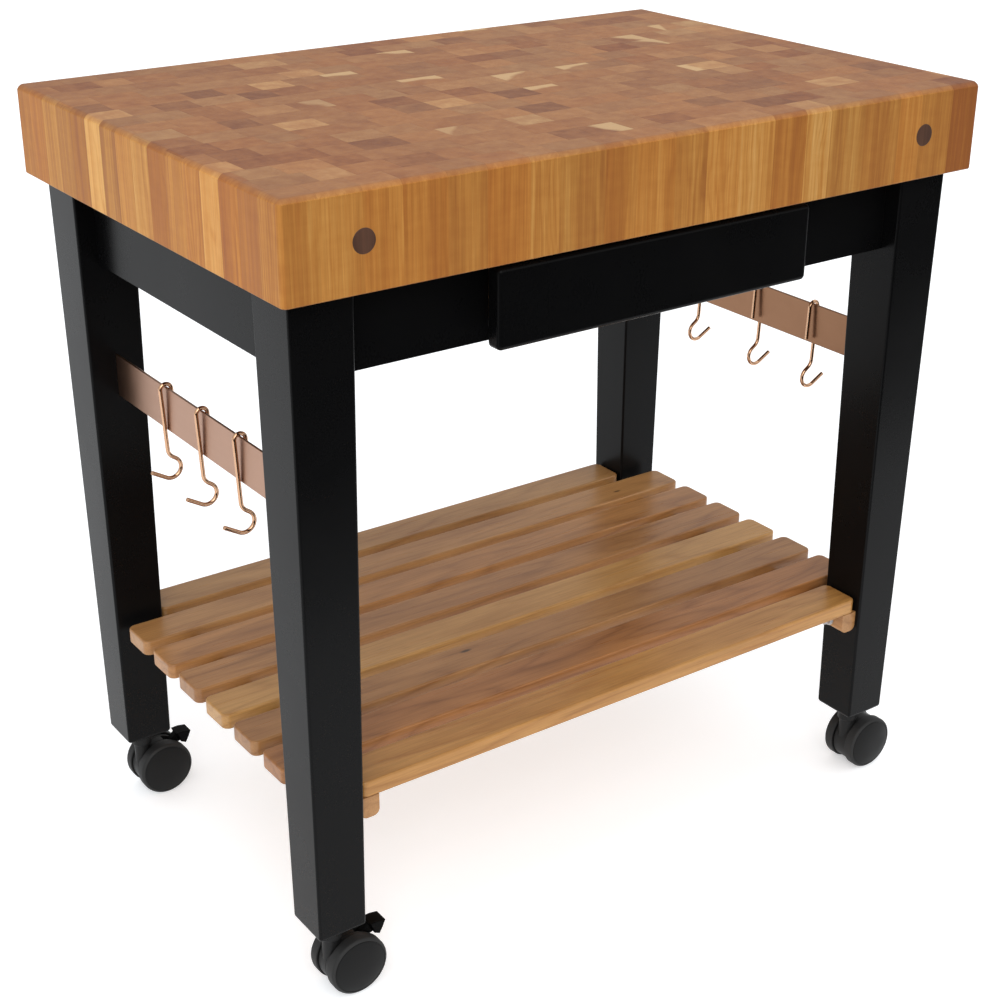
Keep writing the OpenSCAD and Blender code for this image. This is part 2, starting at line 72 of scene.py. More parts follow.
# Hooks: the crook lies over the bar and the jaw is the open loop below
WIRE_R, WIRE_TIP_EASE = 2.4 * MM, 0.7 * MM
CROOK_R, CROOK_DROP, TAIL = 6.8 * MM, 3.8 * MM, 43 * MM
JAW_R, JAW_OUT, JAW_Z, TIP = 12.5 * MM, 5.6 * MM, 526 * MM, 20.6 * MM
JAW_TURN, JAW_END, BEND_R, HOOK_TILT = 52, 303, 13 * MM, 2.8

# Casters. WHEEL_IN, WHEEL_SHOULDER, WHEEL_DOME and BORE_END are distances from the middle of the pair
WHEEL_R, WHEEL_IN, WHEEL_SHOULDER, WHEEL_DOME = 36 * MM, 11.5 * MM, 26 * MM, 30.2 * MM
COVER_R, COVER_GROOVE = WHEEL_R - 4.4 * MM, 0.8 * MM
HUB_HOLLOW_R, HUB_HOLLOW = 9 * MM, 2 * MM
BORE_R, BORE_END = 4.05 * MM, 27.3 * MM
TRAIL = 22 * MM
HOOD_R, HOOD_HALF, HOOD_FLOOR = 33.3 * MM, 10.8 * MM, 12 * MM
SLOT_HALF, SLOT_X, SLOT_Z = 5 * MM, 28 * MM, 48 * MM
PIVOT, HUB_R, ARM_HALF, PAD_HALF = (36 * MM, 56 * MM), 5 * MM, 4.6 * MM, 10 * MM

# Relief of the surfaces
END_GRAIN_RELIEF, LONG_GRAIN_RELIEF, PAINT_RELIEF = 0.08 * MM, 0.05 * MM, 0.003 * MM
BRUSHED_RELIEF, WIRE_RELIEF, PLASTIC_RELIEF = 0.01 * MM, 0.004 * MM, 0.02 * MM

# Lighting and camera. The dome's brightness goes by the cosine to DOME_TOWARD
DOME_TOWARD = Vector((-0.26, -0.62, 0.75))
DOME_DARK, DOME_BRIGHT, DOME_FROM, DOME_TO = 0.6, 1.2, -0.5, 0.95
BELOW_HORIZON, HORIZON_FROM, HORIZON_TO = 0.02, -0.06, 0.02
FLOOR_HALF_WIDTH, FLOOR_FRONT, FLOOR_BACK, FLOOR_GLOW = 14.0, -1.12, 25.0, 0.4
KEY_PLACE, KEY_TARGET, KEY_SIDE, KEY_POWER = Vector((-1.9, -3.2, 2.7)), Vector((0.0, 0.0, 0.6)), 2.4, 50.0
CAMERA_PLACE = Vector((-1.184, -1.66465, 1.3446))
CAMERA_YAW, CAMERA_PITCH, CAMERA_ROLL = 35.42, 24.6, -0.21
CAMERA_LENS_MM, CAMERA_SENSOR_MM = 64.27, 36.0


# ---------------------------------------------------------------- node helpers


class Graph:
    """Adds shader nodes to a new material or world. Most calls return an output socket."""

    def __init__(self, owner, shader):
        owner.use_nodes = True
        self.owner = owner
        self.tree = owner.node_tree
        self.shader = self.tree.nodes[shader]

    def feed(self, socket, value):
        if isinstance(value, bpy.types.NodeSocket):
            self.tree.links.new(value, socket)
        else:
            socket.default_value = value

    def node(self, kind, inputs=(), **settings):
        made = self.tree.nodes.new("ShaderNode" + kind)
        for key, value in settings.items():
            setattr(made, key, value)
        for key, value in dict(inputs).items():
            self.feed(made.inputs[key], value)
        return made

    def surface(self, **values):
        """Feeds the shader's own sockets and returns the material or world."""
        for key, value in values.items():
            self.feed(self.shader.inputs[key.replace("_", " ")], value)
        return self.owner

    def position(self):
        return self.node("TexCoord").outputs["Object"]

    def split(self, vector):
        return self.node("SeparateXYZ", {0: vector}).outputs

    def join(self, x=0.0, y=0.0, z=0.0):
        return self.node("CombineXYZ", {0: x, 1: y, 2: z}).outputs[0]

    def math(self, operation, a, b=0.0, c=0.0):
        return self.node("Math", {0: a, 1: b, 2: c}, operation=operation).outputs[0]

    def plus(self, a, b):
        return self.math("ADD", a, b)

    def minus(self, a, b):
        return self.math("SUBTRACT", a, b)

    def times(self, a, b):
        return self.math("MULTIPLY", a, b)

    def over(self, a, b):
        return self.math("DIVIDE", a, b)

    def spread(self, value, amount):
        """Turns a value that varies around 0.5 into one around 0, times an amount."""
        return self.times(self.minus(value, 0.5), amount)

    def reach(self, heading, x, y):
        """How far x and y go along a heading, which is a cosine and a sine."""
        return self.plus(self.times(heading[0], x), self.times(heading[1], y))

    def vector(self, operation, a, b=(0.0, 0.0, 0.0)):
        made = self.node("VectorMath", {0: a, 1: b}, operation=operation)
        return made.outputs["Value" if operation == "LENGTH" else "Vector"]

    def stretch(self, vector, factors):
        return self.vector("MULTIPLY", vector, factors)

    def noise(self, vector, scale, detail, roughness=0.5):
        inputs = {"Vector": vector, "Scale": scale, "Detail": detail, "Roughness": roughness}
        return self.node("TexNoise", inputs).outputs[0]

    def grain(self, vector, factors, detail, roughness=0.5):
        """Noise with its own fineness along each axis."""
        return self.noise(self.stretch(vector, factors), 1.0, detail, roughness)

    def white(self, vector):
        return self.node("TexWhiteNoise", {"Vector": vector}).outputs

    def remap(self, value, low, high, to_low=0.0, to_high=1.0):
        inputs = {0: value, 1: low, 2: high, 3: to_low, 4: to_high}
        return self.node("MapRange", inputs).outputs[0]

    def between(self, share, start, end):
        return self.remap(share, 0.0, 1.0, start, end)

    def mix(self, factor, a, b, blend="MIX"):
        made = self.node("Mix", data_type="RGBA", blend_type=blend)
        for key, value in ((0, factor), (6, a), (7, b)):
            self.feed(made.inputs[key], value)
        return made.outputs[2]

    def ramp(self, value, stops):
        made = self.node("ValToRGB", {0: value})
        elements = made.color_ramp.elements
        while len(elements) < len(stops):
            elements.new(0.5)
        for element, (place, colour) in zip(elements, stops):
            element.position = place
            element.color = (*colour, 1.0)
        return made.outputs[0]

    def shade(self, colour, factor):
        """Multiplies a colour by a grey factor."""
        return self.mix(1.0, colour, self.join(factor, factor, factor), "MULTIPLY")

    def bump(self, height, distance):
        return self.node("Bump", {"Strength": 1.0, "Distance": distance, "Height": height}).outputs["Normal"]


def material_graph(name):
    return Graph(bpy.data.materials.new(name), "Principled BSDF")


def srgb(*levels):
    """Linear colour of an 8-bit sRGB one."""
    parts = (level / 255 for level in levels)
    return tuple(c / 12.92 if c <= 0.04045 else ((c + 0.055) / 1.055) ** 2.4 for c in parts)


# ---------------------------------------------------------------- materials

# Which staves are pale, dark or red goes by this number
BLOCK_SEED = 12.5
END_TONES = [(0.0, srgb(124, 77, 52)), (0.3, srgb(147, 99, 65)), (0.5, srgb(158, 111, 73)),
             (0.7, srgb(169, 123, 82)), (1.0, srgb(190, 150, 104))]
SIDE_TONES = [(0.0, srgb(153, 93, 47)), (0.3, srgb(170, 110, 52)), (0.5, srgb(184, 125, 60)),
              (0.7, srgb(198, 142, 73)), (1.0, srgb(214, 166, 98))]
END_SAP, SIDE_SAP = srgb(206, 172, 126), srgb(216, 170, 104)
REDDER, YELLOWER = (1.05, 0.975, 0.9, 1.0), (0.97, 1.015, 1.06, 1.0)

# Long grain: the boards' pitch, the depth of the pith under a board, and the width of a year's ring
BOARD_PITCH, PITH_DEPTH, YEAR_RING = 69.4 * MM, 70 * MM, 4.5 * MM
KNOT_COLOUR = (0.035, 0.018, 0.009, 1.0)

# Early and late wood of the slats in turn, and their knots as x, y and size
SLAT_TONES = [((172, 130, 81), (139, 96, 53)), ((176, 130, 80), (142, 97, 55)),
              ((174, 124, 74), (136, 91, 52)), ((167, 120, 73), (128, 85, 49)),
              ((184, 140, 83), (153, 107, 55)), ((163, 118, 72), (128, 84, 46)),
              ((165, 112, 64), (125, 77, 37)), ((183, 134, 74), (150, 99, 47))]
SLAT_KNOTS = {2: [(0.33, 0.17, 0.004)], 6: [(-0.117, -0.0934, 0.005)]}


def lay_staves(g, x, y):
    """Places across the rows and along the staves, both counted in staves, and each stave's random values."""
    across = g.over(g.minus(y, BLOCK_LO.y - ROW_SHIFT), ROW_PITCH)
    row = g.math("FLOOR", across)
    row_random = g.white(g.join(row, 3.7, 1.3))["Value"]
    along = g.plus(g.over(x, STAVE_LENGTH), g.times(row_random, 9.0))
    wobble = g.noise(g.join(along, g.times(row, 7.31)), 0.9, 0.0)
    along = g.plus(along, g.times(wobble, 0.7))
    return across, along, g.white(g.join(g.math("FLOOR", along), row, BLOCK_SEED))


def even_tone(g, value):
    """Pulls most random values toward the middle, so that few staves are very pale or very dark."""
    tone = g.node("FloatCurve", {"Value": value})
    curve = tone.mapping.curves[0]
    for point, place in zip(curve.points, ((0.0, 0.08), (1.0, 0.92))):
        point.location = place
    for place in ((0.14, 0.34), (0.5, 0.5), (0.86, 0.66)):
        curve.points.new(*place)
    tone.mapping.update()
    return tone.outputs[0]


def growth_rings(g, own, heading, warp, random):
    """Rings across a stave along its heading, fading in and out."""
    ox, oy, _ = g.split(own)
    rings = g.plus(g.times(g.reach(heading, ox, oy), g.between(random, 260.0, 480.0)), g.times(warp, 9.0))
    strength = g.grain(own, (45.0, 45.0, 2.0), 1.0)
    late_wood = g.math("POWER", g.math("PINGPONG", rings, 1.0), 2.0)
    return g.times(late_wood, g.remap(strength, 0.35, 0.65))


def sapwood(g, stave_xy, z, heading, warp, tilt, chance):
    """Pale sapwood down one side of a few staves, from 0 to 1."""
    off_x, off_y = (g.minus(g.math("FRACT", place), 0.5) for place in stave_xy)
    side = g.plus(g.reach(heading, off_x, off_y), g.spread(warp, 0.4))
    side = g.plus(side, g.times(g.minus(z, BLOCK_HI.z), g.between(tilt, -4.0, 4.0)))
    return g.times(g.remap(side, 0.06, 0.2), g.remap(chance, 0.93, 0.95))


def end_grain_cherry():
    """Upright cherry staves glued into a block: end grain on top, straight grain down the sides."""
    g = material_graph("end_grain_cherry")
    place = g.position()
    x, y, z = g.split(place)
    across, along, random = lay_staves(g, x, y)
    r1, r2, r3 = g.split(random["Color"])

    # Each stave has its own piece of the grain, with the rings lying in a direction of its own
    own = g.vector("ADD", place, g.stretch(random["Color"], (3.0, 3.0, 3.0)))
    turn = g.times(r1, math.pi)
    heading = g.math("COSINE", turn), g.math("SINE", turn)
    warp = g.grain(own, (32.0, 32.0, 7.0), 2.0)
    ring = growth_rings(g, own, heading, warp, r2)
    broad = g.grain(own, (55.0, 55.0, 1.8), 3.0, 0.6)
    streak = g.grain(own, (230.0, 230.0, 4.5), 4.0, 0.7)
    figure = g.grain(own, (36.0, 36.0, 110.0), 2.0)
    fibre = g.grain(place, (1000.0, 1000.0, 16.0), 1.0)

    # The share of end grain is 1 on the top and 0 on the sides
    normal_z = g.split(g.node("NewGeometry").outputs["Normal"])["Z"]
    end_share = g.remap(g.math("ABSOLUTE", normal_z), 0.3, 0.95)
    level = g.plus(even_tone(g, random["Value"]), g.spread(broad, 0.8))
    level = g.plus(level, g.spread(streak, g.between(end_share, 0.62, 0.3)))
    level = g.minus(level, g.times(ring, g.between(end_share, 0.16, 0.09)))
    level = g.plus(level, g.spread(figure, 0.14))
    level = g.minus(level, 0.45)
    side_level = g.plus(g.times(level, 1.2), 0.43)
    end_level = g.plus(g.times(level, 0.9), 0.4)
    colour = g.mix(end_share, g.ramp(side_level, SIDE_TONES), g.ramp(end_level, END_TONES))
    colour = g.mix(1.0, colour, g.mix(r2, REDDER, YELLOWER), "MULTIPLY")

    sap = sapwood(g, (along, across), z, heading, warp, r2, r3)
    colour = g.mix(g.times(sap, 0.75), colour, g.mix(end_share, (*SIDE_SAP, 1.0), (*END_SAP, 1.0)))
    fibre_depth = g.between(end_share, 0.07, 0.03)
    colour = g.shade(colour, g.minus(1.0, g.times(g.remap(fibre, 0.3, 0.7, -1.0, 1.0), fibre_depth)))

    # Thin glue lines
    from_row = g.times(g.math("PINGPONG", across, 0.5), ROW_PITCH)
    from_stave = g.times(g.math("PINGPONG", along, 0.5), STAVE_LENGTH)
    to_line = g.math("MINIMUM", from_row, from_stave)
    colour = g.shade(colour, g.remap(to_line, 0.1 * MM, 0.6 * MM, 0.88, 1.0))

    height = g.plus(g.times(streak, 0.5), g.remap(to_line, 0.1 * MM, 0.5 * MM))
    return g.surface(Base_Color=colour, Roughness=g.remap(streak, 0.3, 0.7, 0.44, 0.56),
                     Specular_IOR_Level=0.14, Normal=g.bump(height, END_GRAIN_RELIEF))


def long_grain(name, seed, light, dark, rough, axis=0, knots=()):
    """Flat-sawn board with its grain along one axis. Light and dark are the early and late wood."""
    g = material_graph(name)
    parts = list(g.split(g.vector("ADD", g.position(), (seed * 3.17, seed * 1.93, seed * 0.71))))
    along = parts.pop(axis)
    a, b = parts
    lie = g.join(along, a, b)

    # Year rings around a pith under each board
    bend = g.grain(lie, (2.2, 14.0, 14.0), 2.0)
    depth = g.plus(g.times(b, 0.35), g.spread(bend, 0.075))
    width = g.minus(a, g.times(g.math("ROUND", g.over(a, BOARD_PITCH)), BOARD_PITCH))
    radius = g.vector("LENGTH", g.join(width, g.plus(depth, PITH_DEPTH)))
    line = g.math("POWER", g.math("PINGPONG", g.over(radius, YEAR_RING), 1.0), 2.5)

    fine = g.grain(lie, (9.0, 430.0, 430.0), 3.0, 0.65)
    pores = g.grain(lie, (45.0, 1300.0, 1300.0), 1.0)
    cloud = g.grain(lie, (5.0, 28.0, 28.0), 3.0, 0.6)
    share = g.plus(g.times(line, 0.45), g.remap(cloud, 0.25, 0.75, -0.1, 0.65))
    colour = g.mix(share, (*light, 1.0), (*dark, 1.0))
    colour = g.shade(colour, g.remap(fine, 0.3, 0.72, 1.14, 0.84))
    colour = g.shade(colour, g.remap(pores, 0.62, 0.78, 1.0, 0.72))
    for x, y, size in knots:
        offset = g.vector("SUBTRACT", g.position(), (x, y, 0.0))
        reach = g.vector("LENGTH", g.stretch(offset, (0.55 / size, 1.6 / size, 0.0)))
        colour = g.mix(g.remap(reach, 0.45, 1.1, 0.85, 0.0), colour, KNOT_COLOUR)
    return g.surface(Base_Color=colour, Roughness=g.remap(fine, 0.3, 0.7, rough - 0.04, rough + 0.08),
                     Specular_IOR_Level=0.4, Normal=g.bump(fine, LONG_GRAIN_RELIEF))


def black_paint(name, shine):
    """Satin black paint over smooth wood, with a faint orange peel."""
    g = material_graph(name)
    place = g.position()
    peel = g.grain(place, (420.0, 420.0, 260.0), 2.0)
    patch = g.noise(place, 9.0, 3.0)
    colour = g.mix(patch, (0.0024, 0.0024, 0.0026, 1.0), (0.0034, 0.0034, 0.0036, 1.0))
    rough = g.remap(g.plus(g.times(patch, 0.8), g.times(peel, 0.2)), 0.3, 0.7, 0.25, 0.31)
    return g.surface(Base_Color=colour, Roughness=rough, Specular_IOR_Level=shine,
                     Normal=g.bump(peel, PAINT_RELIEF))


def copper(name, dark, light, brushed):
    """Copper between two tints. Brushed copper has fine marks along Y."""
    g = material_graph(name)
    place = g.position()
    marks = g.grain(place, (800.0, 9.0, 1500.0) if brushed else (500.0, 500.0, 500.0), 2.0)
    cloud = g.noise(place, 35.0, 3.0)
    colour = g.mix(cloud, (*dark, 1.0), (*light, 1.0))
    low, high = (0.28, 0.36) if brushed else (0.08, 0.16)
    rough = g.remap(g.plus(g.times(marks, 0.6), g.times(cloud, 0.4)), 0.3, 0.7, low, high)
    return g.surface(Base_Color=colour, Metallic=1.0, Roughness=rough,
                     Normal=g.bump(marks, BRUSHED_RELIEF if brushed else WIRE_RELIEF))


def steel():
    """Zinc-plated steel."""
    g = material_graph("zinc_steel")
    cloud = g.noise(g.position(), 160.0, 3.0)
    colour = g.mix(cloud, (0.42, 0.42, 0.43, 1.0), (0.6, 0.6, 0.61, 1.0))
    return g.surface(Base_Color=colour, Metallic=1.0, Roughness=g.remap(cloud, 0.3, 0.7, 0.28, 0.42))


def plastic(name, dark, light, rough, shine=0.17):
    """Moulded plastic between two tints, with a fine sparked texture."""
    g = material_graph(name)
    place = g.position()
    grain = g.noise(place, 1400.0, 2.0)
    cloud = g.noise(place, 60.0, 3.0)
    colour = g.mix(cloud, (*dark, 1.0), (*light, 1.0))
    return g.surface(Base_Color=colour, Roughness=g.remap(cloud, 0.3, 0.7, rough - 0.05, rough + 0.06),
                     Specular_IOR_Level=shine, Normal=g.bump(grain, PLASTIC_RELIEF))


# ---------------------------------------------------------------- mesh helpers


def add_piece(name, bm, body, materials, stands_for, sharp_deg=50.0):
    """Makes a shown object of bm that rides on body and stands for the CAD nodes named."""
    mesh = bpy.data.meshes.new(name)
    bmesh.ops.recalc_face_normals(bm, faces=bm.faces)
    bm.to_mesh(mesh)
    bm.free()
    mesh.polygons.foreach_set("use_smooth", [True] * len(mesh.polygons))
    mesh.set_sharp_from_angle(angle=math.radians(sharp_deg))
    for material in materials:
        mesh.materials.append(material)
    piece = bpy.data.objects.new(name, mesh)
    bpy.context.scene.collection.objects.link(piece)
    weighted = piece.modifiers.new("weighted_normals", "WEIGHTED_NORMAL")
    weighted.keep_sharp = True
    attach(piece, body)
    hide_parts(*stands_for)


def soften(node, material, width):
    """Gives a CAD node its material and eases its sharp edges with modifiers."""
    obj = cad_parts[node]
    obj.data.materials.clear()
    obj.data.materials.append(material)
    if width:
        obj.modifiers.new("weld", "WELD").merge_threshold = 0.01 * MM
        bevel = obj.modifiers.new("ease", "BEVEL")
        bevel.width = width
        bevel.segments = 2
        bevel.limit_method = "ANGLE"
        bevel.angle_limit = math.radians(40)
        bevel.harden_normals = True


def bevel_edges(bm, keep, radius, segments, profile=0.5):
    edges = [e for e in bm.edges if keep(*e.verts)]
    bmesh.ops.bevel(bm, geom=edges, offset=radius, segments=segments, profile=profile,
                    affect="EDGES", clamp_overlap=True)


def box_mesh(lo, hi):
    bm = bmesh.new()
    bmesh.ops.create_cube(bm, size=1.0)
    size, centre = hi - lo, (lo + hi) / 2
    for v in bm.verts:
        v.co = Vector(c * s for c, s in zip(v.co, size)) + centre
    return bm


def eased_board(lo, hi, plan_r, top_r, foot_r, profile=0.5):
    """A lying board whose upright corners, top rim and lower rim are rounded."""
    bm = box_mesh(lo, hi)
    bevel_edges(bm, lambda a, b: abs(a.co.z - b.co.z) > 1e-6, plan_r, 6)
    bevel_edges(bm, lambda a, b: min(a.co.z, b.co.z) > hi.z - 1e-6, top_r, 4, profile)
    bevel_edges(bm, lambda a, b: max(a.co.z, b.co.z) < lo.z + 1e-6, foot_r, 3)
    return bm


def lathe(profile, segments, marks=None):
    """Revolves (radius, height) points about Z. marks gives each stretch its material index."""
    bm = bmesh.new()
    rings = []
    for r, h in profile:
        if r < 1e-7:
            rings.append([bm.verts.new((0.0, 0.0, h))])
            continue
        angles = (2 * math.pi * k / segments for k in range(segments))
        rings.append([bm.verts.new((r * math.cos(a), r * math.sin(a), h)) for a in angles])
    for index, (lower, upper) in enumerate(zip(rings, rings[1:])):
        for k in range(segments):
            n = (k + 1) % segments
            corners = (ring[at % len(ring)] for ring, at in ((lower, k), (lower, n), (upper, n), (upper, k)))
            corners = list(dict.fromkeys(corners))
            if len(corners) > 2:
                face = bm.faces.new(corners)
                face.material_index = marks[index] if marks else 0
    return bm


def extrude_outline(bm, outline, y0, y1, ease):
    """Adds a plate with an [x, z] outline between y0 and y1, its rims eased."""
    plate = bmesh.new()
    face = plate.faces.new([plate.verts.new((x, y0, z)) for x, z in outline])
    moved = bmesh.ops.extrude_face_region(plate, geom=[face])["geom"]
    for v in moved:
        if isinstance(v, bmesh.types.BMVert):
            v.co.y = y1
    bevel_edges(plate, lambda a, b: abs(a.co.y - b.co.y) < 1e-7, ease, 3)
    add_to(bm, plate)


def add_to(bm, other, matrix=None):
    """Copies other into bm, moved by matrix, and frees it."""
    if matrix is not None:
        other.transform(matrix)
    mesh = bpy.data.meshes.new("scratch")
    other.to_mesh(mesh)
    other.free()
    bm.from_mesh(mesh)
    bpy.data.meshes.remove(mesh)


def in_mm(*points):
    """Points given in millimetres."""
    return [(a * MM, b * MM) for a, b in points]


def arc(centre, radius, start, end, steps):
    """Points of an arc in a plane, from the start angle to the end angle."""
    angles = (math.radians(start + (end - start) * i / steps) for i in range(steps + 1))
    return [(centre[0] + radius * math.cos(a), centre[1] + radius * math.sin(a)) for a in angles]


def wire_mesh(path, radius, sides=24):
    """A round wire along [x, z] points at y = 0, with eased ends. The path's points are the wire's middle."""
    bm = bmesh.new()
    points = [Vector((x, 0.0, z)) for x, z in path]
    last = len(points) - 1
    headings = [(points[min(i + 1, last)] - points[max(i - 1, 0)]).normalized() for i in range(last + 1)]
    easing = [(math.sin(math.radians(a)) - 1, radius - WIRE_TIP_EASE * (1 - math.cos(math.radians(a))))
              for a in (30, 60, 90)]
    first, end = (points[0], headings[0]), (points[-1], headings[-1])
    sections = [(first[0] - first[1] * WIRE_TIP_EASE * back, first[1], r) for back, r in reversed(easing)]
    sections.append((first[0] + first[1] * WIRE_TIP_EASE, first[1], radius))
    sections += [(p, heading, radius) for p, heading in list(zip(points, headings))[1:-1]]
    sections.append((end[0] - end[1] * WIRE_TIP_EASE, end[1], radius))
    sections += [(end[0] + end[1] * WIRE_TIP_EASE * back, end[1], r) for back, r in easing]
    rings = []
    for p, heading, r in sections:
        across, aside = Vector((-heading.z, 0.0, heading.x)), Vector((0.0, 1.0, 0.0))
        angles = (2 * math.pi * k / sides for k in range(sides))
        rings.append([bm.verts.new(p + across * r * math.cos(a) + aside * r * math.sin(a)) for a in angles])
    close_rings(bm, rings)
    return bm


def close_rings(bm, rings):
    """Joins rings of equally many points with quads and caps both ends."""
    for near, far in zip(rings, rings[1:]):
        for k in range(len(near)):
            n = (k + 1) % len(near)
            bm.faces.new((near[k], near[n], far[n], far[k]))
    bm.faces.new(list(reversed(rings[0])))
    bm.faces.new(rings[-1])


# ---------------------------------------------------------------- the table's pieces


def make_block(wood, plug_wood):
    bm = eased_board(BLOCK_LO, BLOCK_HI, BLOCK_CORNER, BLOCK_BEVEL, BLOCK_FOOT_EASE, BLOCK_BEVEL_PROFILE)
    add_piece("block", bm, "table", [wood], ["block_top"])
    lo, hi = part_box("walnut_plugs")
    radius, z = (hi.z - lo.z) / 2, (lo.z + hi.z) / 2
    plug = [(0, -PLUG_DEPTH), (radius, -PLUG_DEPTH), (radius, PLUG_PROUD - PLUG_EASE),
            (radius - PLUG_EASE * 0.3, PLUG_PROUD - PLUG_EASE * 0.3), (radius - PLUG_EASE, PLUG_PROUD),
            (radius * 0.5, PLUG_PROUD), (0, PLUG_PROUD)]
    bm = bmesh.new()
    for x in (lo.x + radius, hi.x - radius):
        for y, turn in ((lo.y, 90), (hi.y, -90)):
            place = Matrix.Translation((x, y, z)) @ Matrix.Rotation(math.radians(turn), 4, "X")
            add_to(bm, lathe(plug, 48), place)
    add_piece("plugs", bm, "table", [plug_wood], ["walnut_plugs"])


def leg_mesh(lo, hi):
    """Tapered square leg with eased edges and a rounded foot: square sections stacked from the foot up."""
    centre, top_half = (lo + hi) / 2, (hi.x - lo.x) / 2
    levels = [(LEG_FOOT / 2 - LEG_FOOT_EASE * (1 - math.sin(a)), lo.z + LEG_FOOT_EASE * (1 - math.cos(a)))
              for a in (math.pi / 2 * k / LEG_FOOT_STEPS for k in range(LEG_FOOT_STEPS + 1))]
    levels.append((top_half, hi.z))
    bm = bmesh.new()
    rings = []
    for half, z in levels:
        ring = []
        for start, (sx, sy) in zip((0, 90, 180, 270), ((1, 1), (-1, 1), (-1, -1), (1, -1))):
            corner = (centre.x + sx * (half - LEG_EASE), centre.y + sy * (half - LEG_EASE))
            ring += [bm.verts.new((px, py, z)) for px, py in arc(corner, LEG_EASE, start, start + 90, 4)]
        rings.append(ring)
    close_rings(bm, rings)
    return bm


def make_leg(node, paint):
    add_piece(node + "_painted", leg_mesh(*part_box(node)), "table", [paint], [node])


def make_slats(woods):
    for i in range(1, SLATS + 1):
        node = f"slat_{i}"
        lo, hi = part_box(node)
        bm = eased_board(lo, hi, SLAT_CORNER, SLAT_EASE, SLAT_FOOT_EASE)
        add_piece(node + "_board", bm, "table", [woods[i - 1]], [node])


def make_bars(metals):
    for side in ("left", "right"):
        node = f"copper_bar_{side}"
        lo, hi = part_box(node)
        bm = box_mesh(lo, hi)
        bevel_edges(bm, lambda a, b: abs(a.co.y - b.co.y) > 0.1, BAR_EASE, 3)
        add_piece(node + "_flat", bm, "table", [metals[side]], [node])


def hook_path(bar_top):
    """Hook outline as [outward, height] points from the bar's centre plane."""
    jaw, crook = (JAW_OUT, JAW_Z), (0.0, bar_top - CROOK_DROP)
    start = 180 - JAW_TURN
    turn = math.radians(JAW_TURN)
    slant_x = jaw[0] + JAW_R * math.cos(math.radians(start))
    slant_z = jaw[1] + JAW_R * math.sin(math.radians(start))
    knee_z = slant_z + (CROOK_R - slant_x) / math.tan(turn)
    bend = (CROOK_R - BEND_R, knee_z + BEND_R * math.tan(turn / 2))
    jaw_arc = arc(jaw, JAW_R, start, JAW_END, 30)
    end = math.radians(JAW_END)
    tip = (jaw_arc[-1][0] - TIP * math.sin(end), jaw_arc[-1][1] + TIP * math.cos(end))
    crook_arc, bend_arc = arc(crook, CROOK_R, 180, 0, 20), arc(bend, BEND_R, 0, -JAW_TURN, 8)
    return [(-CROOK_R, crook[1] - TAIL), *crook_arc, *bend_arc, *jaw_arc, tip]


def make_hooks(metal):
    bar_lo, bar_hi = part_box("copper_bar_right")
    path = hook_path(bar_hi.z)
    bar_x = (bar_lo.x + bar_hi.x) / 2
    for side, sign in (("left", -1), ("right", 1)):
        for i in (1, 2, 3):
            node = f"hook_{side}_{i}"
            lo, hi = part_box(node)
            bm = wire_mesh(path, WIRE_R)
            flip = Matrix.Diagonal((sign, 1.0, 1.0, 1.0))
            lean = Matrix.Rotation(math.radians(HOOK_TILT), 4, "Y")
            crook = Vector((0.0, 0.0, bar_hi.z - CROOK_DROP))
            hang = Vector((sign * bar_x, (lo.y + hi.y) / 2, crook.z))
            bm.transform(Matrix.Translation(hang) @ flip @ lean @ Matrix.Translation(-crook))
            add_piece(node + "_wire", bm, node, [metal], [node], 60.0)


def make_drawer_front(paint):
    lo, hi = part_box("drawer_front")
    bm = box_mesh(lo, hi)
    bevel_edges(bm, lambda a, b: abs(a.co.y - b.co.y) > 1e-6, FACE_CORNER, 6)
    bevel_edges(bm, lambda a, b: max(a.co.y, b.co.y) < lo.y + 1e-6, FACE_FRONT_EASE, 6)
    bevel_edges(bm, lambda a, b: min(a.co.y, b.co.y) > hi.y - 1e-6, FACE_BACK_EASE, 2)
    add_piece("drawer_face", bm, "drawer", [paint], ["drawer_front"])


def wheel_mesh():
    """A caster wheel about Z, its domed cover outward. Material 0 is the tread's and 1 the cover's."""
    rim, seat = WHEEL_R, WHEEL_SHOULDER - 0.9 * MM
    # A blind bore takes the axle's end
    bore = [(0.0, BORE_END), (BORE_R, BORE_END), (BORE_R, WHEEL_IN + HUB_HOLLOW),
            (HUB_HOLLOW_R, WHEEL_IN + HUB_HOLLOW), (HUB_HOLLOW_R, WHEEL_IN), (30 * MM, WHEEL_IN)]
    tread = [(rim - 1.5 * MM, WHEEL_IN), (rim - 0.4 * MM, WHEEL_IN + 0.5 * MM), (rim, WHEEL_IN + 1.6 * MM),
             (rim, WHEEL_SHOULDER - 4 * MM), (rim - 0.5 * MM, WHEEL_SHOULDER - 2.2 * MM),
             (rim - 1.8 * MM, seat),
             (COVER_R + COVER_GROOVE, WHEEL_SHOULDER - 0.2 * MM), (COVER_R + COVER_GROOVE, seat)]
    cover = [(COVER_R, seat), (COVER_R, WHEEL_SHOULDER - 0.3 * MM)]
    rise = WHEEL_DOME - WHEEL_SHOULDER
    for t in (1 - k / 12 for k in range(13)):
        cover.append((max(0.0, (COVER_R - 0.5 * MM) * t), WHEEL_SHOULDER + rise * (1 - t ** 2.4)))
    marks = [1] * len(bore) + [0] * (len(tread) - 1) + [1] * len(cover)
    return lathe([*bore, *tread, *cover], 72, marks)


